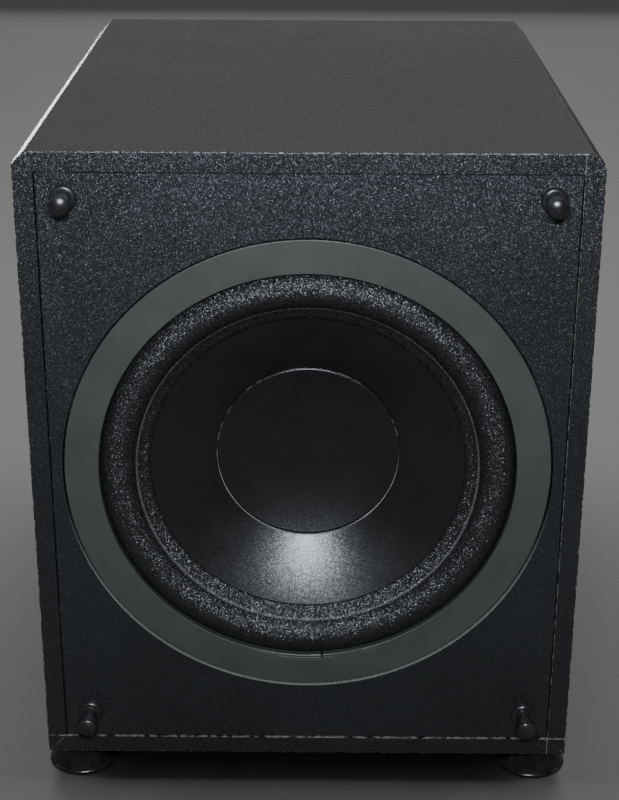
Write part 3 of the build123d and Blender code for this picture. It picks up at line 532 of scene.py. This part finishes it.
def surround_profile():
    """Closed section of the foam: outer lip, half roll, crease and inner lip, thick as real foam."""
    thickness = 1.3 * MM
    outer, lip_top, seat = 121.7 * MM, 4.8 * MM, 6.0 * MM
    crest_depth, roll_outer, roll_inner = -0.9 * MM, 117.0 * MM, 96.6 * MM
    middle = (roll_outer + roll_inner) / 2
    chord = (roll_outer - roll_inner) / 2
    rise = 5.5 * MM - crest_depth
    radius = (chord ** 2 + rise ** 2) / (2 * rise)
    half = math.degrees(math.asin(chord / radius))
    centre = (middle, crest_depth + radius)
    roll = arc(centre, radius, -90 + half, -90 - half, 36)
    under = arc(centre, radius - thickness, -90 - half * 0.97, -90 + half * 0.97, 36)
    lip_points = ((95.5, 1.05), (92, 1.1), (89.3, 1.0), (88.6, 0.3))
    lip = [(r * MM, cone_face(r * MM) - lift * MM) for r, lift in lip_points]
    lip_back = [(r * MM, cone_face(r * MM) + 0.2 * MM) for r in (88.6, 92.5, 96.2)]
    return [(outer, seat), (outer, lip_top)] + roll + lip + lip_back + under[1:] + [(115.6 * MM, seat)]


def blend_radially(piece):
    """Bakes the piece's placement into its mesh."""
    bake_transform(piece)


def make_surround(material):
    piece = lathe("foam_surround", surround_profile(), material, segments=360)
    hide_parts("surround")
    blend_radially(piece)
    return piece


def make_spider(material):
    """Corrugated disc between the coil former and the basket's ledge."""
    low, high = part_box("spider")
    inner, outer = 25.6 * MM, (high.x - low.x) / 2
    wave_start, wave_end, waves, swell, cloth_thickness = 30 * MM, 66 * MM, 3, 1.9 * MM, 0.6 * MM
    depth = high.y - front_y - cloth_thickness - 2.0 * MM
    front = []
    count = 96
    for i in range(count + 1):
        r = inner + (outer - inner) * i / count
        t = min(max((r - wave_start) / (wave_end - wave_start), 0.0), 1.0)
        front.append((r, depth + swell * math.sin(2 * math.pi * waves * t)))
    back = [(r, d + cloth_thickness) for r, d in reversed(front)]
    piece = lathe("corrugated_spider", front + back, material, segments=144)
    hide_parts("spider")
    blend_radially(piece)
    return piece


def make_dust_cap(material):
    """Dished cap of one smooth sheet, meeting in one point at its centre."""
    radius = (cap_high.x - cap_low.x) / 2
    rim = cap_low.y - front_y
    dish = cap_high.y - cap_low.y - cap_sheet
    reach = (radius ** 2 + dish ** 2) / (2 * dish)
    count = 40
    front = []
    for i in range(count + 1):
        r = radius * i / count
        front.append((r, rim + dish - reach + math.sqrt(reach ** 2 - r ** 2)))
    back = [(r, d + cap_sheet) for r, d in reversed(front)]
    piece = lathe("dished_cap", front + back, material, segments=240)
    merge_close(piece)
    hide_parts("dust_cap")
    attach(piece, "diaphragm")


def make_glue_bead(material):
    """Thin line of clear glue where the dust cap sits on the cone, a little uneven."""
    rng = random.Random(11)
    cap_radius = (cap_high.x - cap_low.x) / 2
    depth = cap_low.y - front_y
    segments, sides, size = 360, 8, 0.3 * MM
    waves = [(rng.uniform(0.1, 0.3), rng.randint(3, 17), rng.uniform(0, 6.28)) for _ in range(5)]
    vertices = []
    for k in range(segments):
        turn = 2 * math.pi * k / segments
        swell = size * (1 + 0.5 * sum(a * math.sin(n * turn + p) for a, n, p in waves))
        for i in range(sides):
            a = 2 * math.pi * i / sides
            r = cap_radius + 0.3 * MM + swell * math.cos(a)
            d = depth + 0.1 * MM + swell * math.sin(a)
            vertices.append((r * math.cos(turn), front_y + d, driver_z + r * math.sin(turn)))
    faces = []
    for k in range(segments):
        after = (k + 1) % segments
        for i in range(sides):
            j = (i + 1) % sides
            faces.append((k * sides + i, after * sides + i, after * sides + j, k * sides + j))
    piece = mesh_piece("cap_glue_bead", vertices, faces, material)
    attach(piece, "diaphragm")
    return piece


# ---------- small cabinet details ----------

def make_mitre_lines(material):
    """Hair-thin joints where the wrap folds at the corners of the front frame."""
    rng = random.Random(5)
    inner_x, inner_low, inner_high = half_width - board, box_bottom + board, box_top - board
    folds = []
    for side in (-1, 1):
        folds.append(((side * inner_x, inner_low), (side * half_width, box_bottom)))
        folds.append(((side * inner_x, inner_high - 0.5 * MM), (side * half_width, box_top - chamfer)))
        folds.append(((side * (inner_x - 0.5 * MM), inner_high), (side * (half_width - chamfer), box_top)))
    vertices, faces = [], []
    steps, half_line, lift = 12, 0.13 * MM, 0.03 * MM
    for (x0, z0), (x1, z1) in folds:
        length = math.hypot(x1 - x0, z1 - z0)
        nx, nz = (z0 - z1) / length, (x1 - x0) / length
        base = len(vertices)
        for i in range(steps + 1):
            t = 0.01 + 0.91 * i / steps
            w = half_line * rng.uniform(0.6, 1.2)
            x, z = x0 + (x1 - x0) * t, z0 + (z1 - z0) * t
            for side in (-1, 1):
                vertices.append((x + side * nx * w, front_y - lift, z + side * nz * w))
                vertices.append((x + side * nx * w, front_y + 0.2 * MM, z + side * nz * w))
        for i in range(steps):
            a = base + 4 * i
            b = a + 4
            faces += [(a, a + 2, b + 2, b), (a + 1, b + 1, b + 3, a + 3)]
            faces += [(a, b, b + 1, a + 1), (a + 2, a + 3, b + 3, b + 2)]
        last = base + 4 * steps
        faces += [(base, base + 1, base + 3, base + 2), (last, last + 2, last + 3, last + 1)]
    piece = mesh_piece("mitre_lines", vertices, faces, material, smooth=False)
    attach(piece, "cabinet")
    return piece


def knob_centre(node):
    low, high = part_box(node)
    return (low.x + high.x) / 2, (low.z + high.z) / 2


def make_dial_marks(name, node, material):
    """Printed ticks round a knob, from one end of its turn to the other, longer at the ends and middle."""
    x, z = knob_centre(node)
    face = plate_high.y
    made = ([], [])
    for i in range(11):
        turn = math.radians(90 + 150 - 30 * i)
        inner, outer = 11.2 * MM, (14.0 if i % 5 == 0 else 12.9) * MM
        half = (0.38 if i % 5 == 0 else 0.25) * MM
        along = Vector((-math.cos(turn), 0, math.sin(turn)))
        across = Vector((along.z, 0, -along.x))
        vertices, faces = made
        base = len(vertices)
        for y in (face - 0.05 * MM, face + 0.06 * MM):
            for r, side in ((inner, -1), (outer, -1), (outer, 1), (inner, 1)):
                point = Vector((x, y, z)) + along * r + across * half * side
                vertices.append(tuple(point))
        for quad in ((0, 1, 2, 3), (7, 6, 5, 4), (0, 4, 5, 1), (1, 5, 6, 2), (2, 6, 7, 3), (3, 7, 4, 0)):
            faces.append(tuple(base + q for q in quad))
    piece = mesh_piece(name, *made, material, smooth=False)
    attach(piece, "cabinet")
    return piece


def make_pointer(name, node, body, material):
    """White paint in the groove on top of a knob."""
    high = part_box(node)[1]
    x, z = knob_centre(node)
    made = ([], [])
    add_box(made, (x - 0.5 * MM, high.y - 0.7 * MM, z + 1.9 * MM),
            (x + 0.5 * MM, high.y - 0.35 * MM, z + 7.0 * MM))
    piece = mesh_piece(name, *made, material, smooth=False)
    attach(piece, body)
    return piece


# ---------- dressing the frame ----------

def paint_cad_nodes():
    shell = wrapped_board()
    white = satin("print_white", (0.62, 0.62, 0.6), 0.5)
    satin_black = satin("satin_black", (0.014, 0.014, 0.015), 0.4)
    steel_black = satin("painted_steel", (0.013, 0.013, 0.014), 0.48, 0.8 * MM, 0.09 * MM)
    zinc = metal("bare_steel", (0.52, 0.52, 0.53), 0.34)
    gasket = satin("foam_gasket", (0.012, 0.012, 0.012), 0.85, 0.8 * MM, 0.2 * MM)
    board_raw = bare_board()
    cone_material = cone_black()
    plated = metal("plated", (0.78, 0.76, 0.7), 0.18)
    screws = metal("screw_black", (0.03, 0.03, 0.032), 0.38)
    looks = {
        shell: ["top_board", "left_board", "right_board", "bottom_board", "corner_strip_left",
                "corner_strip_right", "rear_board"],
        baffle_wrap(): ["front_baffle"],
        board_raw: ["baffle_battens", "window_brace"],
        trim_grey(): ["trim_ring"],
        glossy("foot_plastic", (0.004, 0.004, 0.005), 0.22): ["foot_front_left", "foot_front_right",
                                                             "foot_rear_left", "foot_rear_right"],
        satin("peg_plastic", (0.0075, 0.0078, 0.009), 0.3, 0.6 * MM, 0.01 * MM): [
            "grille_peg_top_left", "grille_peg_top_right",
            "grille_peg_bottom_left", "grille_peg_bottom_right"],
        cone_material: ["cone", "dust_cap"],
        steel_black: ["basket", "amp_plate"],
        gasket: ["flange_gasket", "amp_gasket"],
        zinc: ["front_plate", "yoke", "control_pots", "foot_screws"],
        metal("laminations", (0.35, 0.34, 0.33), 0.5, (1, 1, 9), 0.9 * MM): ["transformer_core"],
        satin("ferrite", (0.035, 0.035, 0.038), 0.7, 1.2 * MM, 0.15 * MM): ["magnet"],
        winding("copper", (0.62, 0.26, 0.12), 0.6 * MM, 1): ["voice_coil"],
        winding("transformer_wire", (0.62, 0.3, 0.1), 0.9 * MM, 1): ["transformer_coil"],
        metal("former_alloy", (0.7, 0.7, 0.72), 0.3, (1, 6, 1)): ["coil_former"],
        screws: ["driver_screws", "amp_screws"],
        metal("sink_alloy", (0.035, 0.035, 0.038), 0.36, (7, 7, 0.3), 0.8 * MM, 0.85): ["heat_sink"],
        circuit(): ["circuit_board"],
        glossy("can_sleeve", (0.012, 0.02, 0.06), 0.28): ["capacitors"],
        satin("fibre", (0.22, 0.12, 0.05), 0.7, 0.8 * MM, 0.08 * MM): ["driver_terminals"],
        satin("lead_skin", (0.32, 0.02, 0.02), 0.45): ["speaker_leads"],
        plated: ["line_jack_sleeves", "inlet_pins"],
        satin_black: ["port_tube", "line_jacks", "level_knob", "lowpass_knob", "phase_switch", "phase_slider",
                      "rocker_frame", "power_rocker", "mains_inlet", "speaker_terminal_block"],
        glossy("lever_black", (0.01, 0.01, 0.01), 0.22): ["terminal_lever_1", "terminal_lever_3"],
        glossy("lever_red", (0.4, 0.012, 0.012), 0.22): ["terminal_lever_2", "terminal_lever_4"],
        glossy("lamp_green", (0.04, 0.42, 0.08), 0.1): ["status_lamp"],
    }
    for material, names in looks.items():
        for name in names:
            paint(name, material)
    make_surround(foam())
    make_spider(cloth("spider_cloth", (0.55, 0.38, 0.1), 1.1 * MM))
    make_dust_cap(cone_material)
    make_glue_bead(glue())
    make_mitre_lines(fold_line())
    for name in ("level", "lowpass"):
        node = f"{name}_knob"
        make_dial_marks(f"{name}_dial_marks", node, white)
        make_pointer(f"{name}_pointer", node, f"{name}_control", white)


# ---------- stage, light and camera ----------

def make_floor():
    s = Shader("studio_floor")
    cloud = s.noise(0.6, 3.0)
    base = s.mix(s.ramp(cloud, 0.3, 0.7), (0.52, 0.52, 0.515), (0.55, 0.55, 0.545))
    material = s.finish(Base_Color=base, Roughness=0.8)
    size = 6.0
    corners = [(-size, -size, 0), (size, -size, 0), (size, size, 0), (-size, size, 0)]
    floor = mesh_piece("studio_floor", corners, [(0, 1, 2, 3)], material, smooth=False)
    return floor


def make_world(brightness):
    world = bpy.data.worlds.new("studio")
    world.use_nodes = True
    background = world.node_tree.nodes["Background"]
    background.inputs["Color"].default_value = (0.9, 0.92, 0.95, 1)
    background.inputs["Strength"].default_value = brightness
    bpy.context.scene.world = world


def area_light(name, place, target, size, watts, colour=(1, 1, 1)):
    data = bpy.data.lights.new(name, "AREA")
    data.shape = "RECTANGLE"
    data.size, data.size_y = size
    data.energy = watts
    data.color = colour
    lamp = bpy.data.objects.new(name, data)
    bpy.context.scene.collection.objects.link(lamp)
    lamp.location = place
    lamp.rotation_euler = (Vector(target) - Vector(place)).to_track_quat("-Z", "Y").to_euler()
    return lamp


def keep_off(lamp, item):
    """The lamp doesn't light this item."""
    spared = bpy.data.collections.new(lamp.name + "_spares")
    spared.objects.link(item)
    lamp.light_linking.receiver_collection = spared
    spared.collection_objects[0].light_linking.link_state = "EXCLUDE"


def make_camera():
    """Camera above the front, looking down at it."""
    distance, height, side = 0.8493, 0.5804, 0.00595
    down, turn, roll = math.radians(22.45), math.radians(-0.34), math.radians(0.23)
    forward = Vector((math.sin(turn) * math.cos(down), math.cos(turn) * math.cos(down), -math.sin(down)))
    level = Vector((math.cos(turn), -math.sin(turn), 0))
    upright = level.cross(forward)
    right = math.cos(roll) * level + math.sin(roll) * upright
    up = -math.sin(roll) * level + math.cos(roll) * upright
    data = bpy.data.cameras.new("camera")
    data.sensor_width = 36.0
    data.lens = 75.34
    data.clip_start = 0.01
    camera = bpy.data.objects.new("camera", data)
    bpy.context.scene.collection.objects.link(camera)
    camera.matrix_world = Matrix((
        (right.x, up.x, -forward.x, side),
        (right.y, up.y, -forward.y, front_y - distance),
        (right.z, up.z, -forward.z, box_bottom + height),
        (0, 0, 0, 1)))
    bpy.context.scene.camera = camera


make_camera()
studio_floor = make_floor()
make_world(0.045)
key = area_light("key", (0.0, front_y - 0.86, box_bottom + 0.72), (0, front_y, driver_z), (0.26, 0.03), 15.0,
                 (0.92, 0.96, 1.0))
keep_off(key, studio_floor)
area_light("overhead", (0.0, 0.5, 1.9), (0, 0.1, 0.2), (1.6, 1.6), 11.0, (1.0, 0.99, 0.97))
area_light("backdrop", (0.0, 2.4, 0.9), (0, 0, 0.35), (2.4, 1.6), 4.3, (1.0, 0.99, 0.96))
rear_key = area_light("rear_key", (-1.0, 1.9, 0.25), (0, back_y, 0.2), (0.7, 0.24), 14.0)
keep_off(rear_key, studio_floor)
area_light("side_left", (-2.2, 0.1, 1.5), (0, 0, 0.2), (1.0, 1.0), 6.0)
area_light("side_right", (2.2, 0.1, 1.5), (0, 0, 0.2), (1.0, 1.0), 6.0)
paint_cad_nodes()
